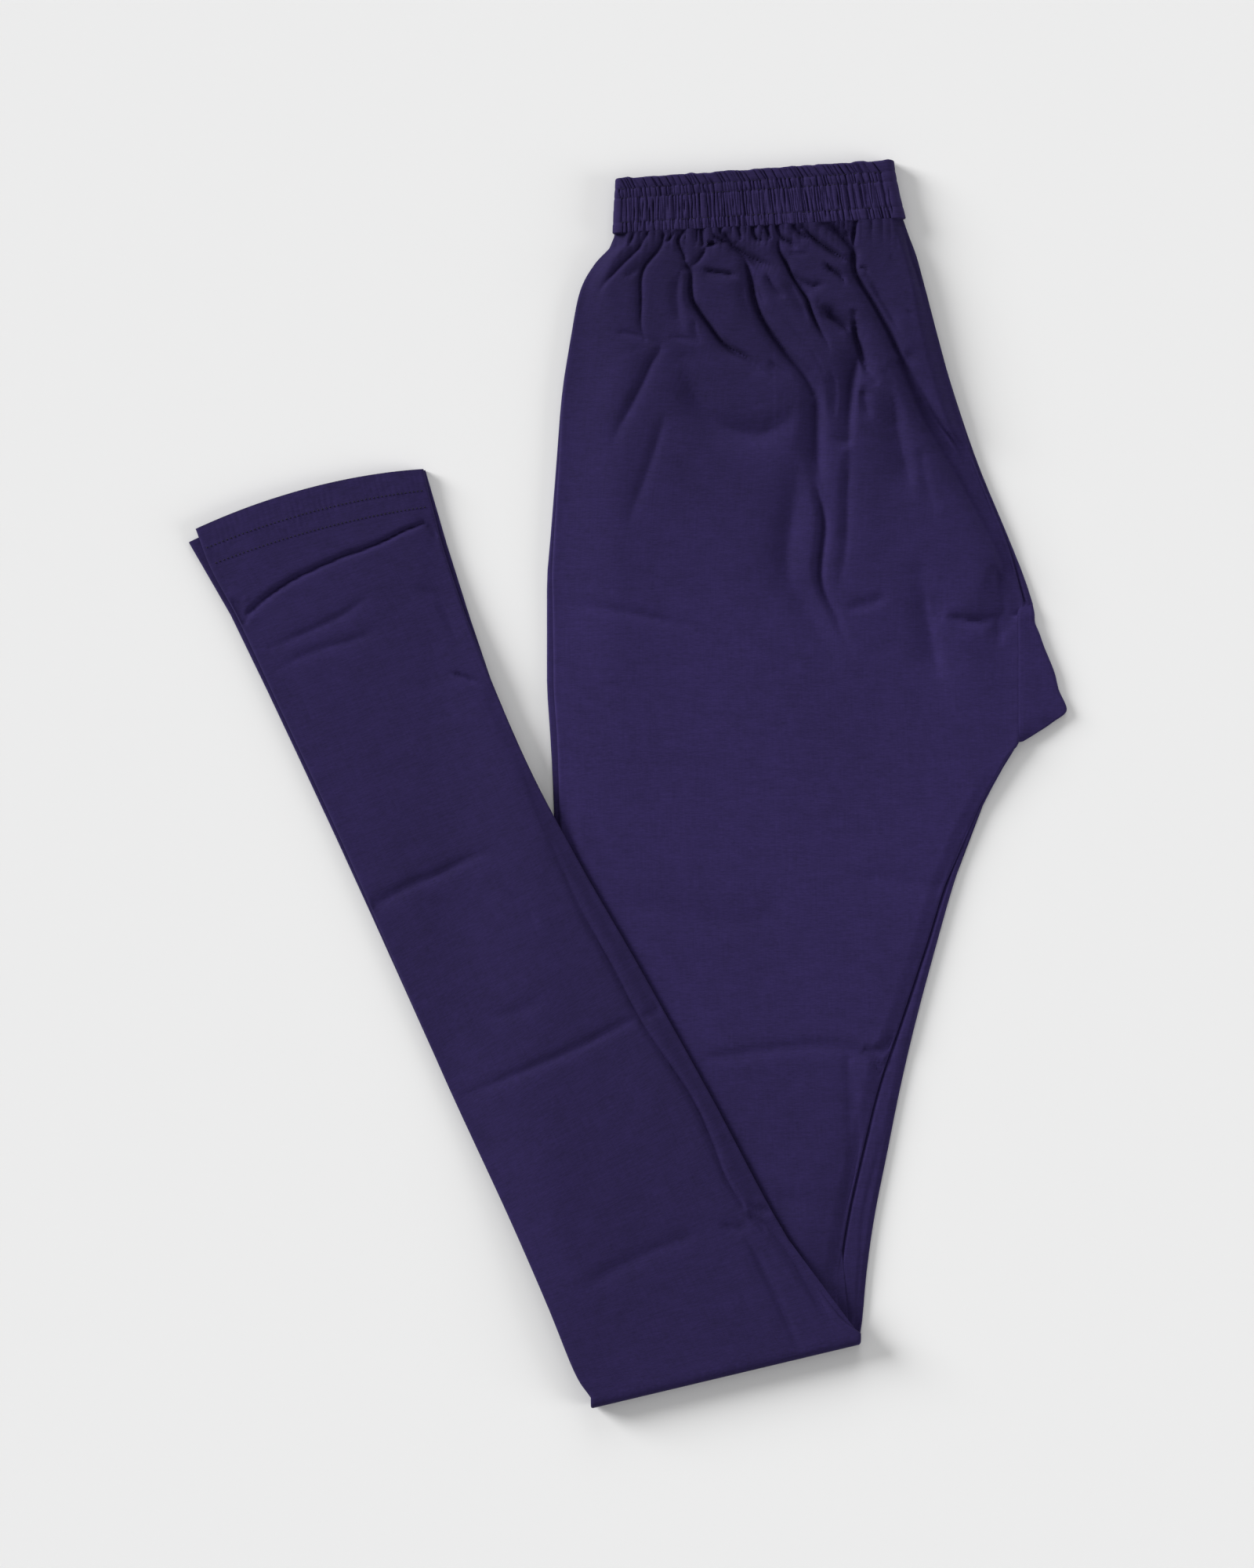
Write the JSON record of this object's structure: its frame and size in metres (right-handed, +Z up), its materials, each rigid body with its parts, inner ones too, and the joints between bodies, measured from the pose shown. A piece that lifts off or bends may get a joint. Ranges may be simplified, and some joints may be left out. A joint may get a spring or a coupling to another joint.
{
  "type": "churidar trousers, folded and laid flat",
  "caption": "Dark jersey churidar trousers with an elastic gathered waistband and crotch gusset, folded lengthwise with the lower legs turned up, resting flat.",
  "frame": {"origin": "on the floor, under the middle of the laid-out trousers' box", "axes": "+Z up, +Y along the folded trousers from the knee fold towards the waist, +X towards the crotch side"},
  "size_m": [0.4704, 0.6674, 0.0132],
  "materials": {
    "jersey": "matt slubbed cotton jersey",
    "waistband_jersey": "matt gathered cotton jersey"
  },
  "bodies": {
    "root": {"leg_near": "jersey", "leg_far": "jersey", "hidden_layers": "jersey", "gusset": "jersey", "waistband": "waistband_jersey"}
  },
  "joints": []
}
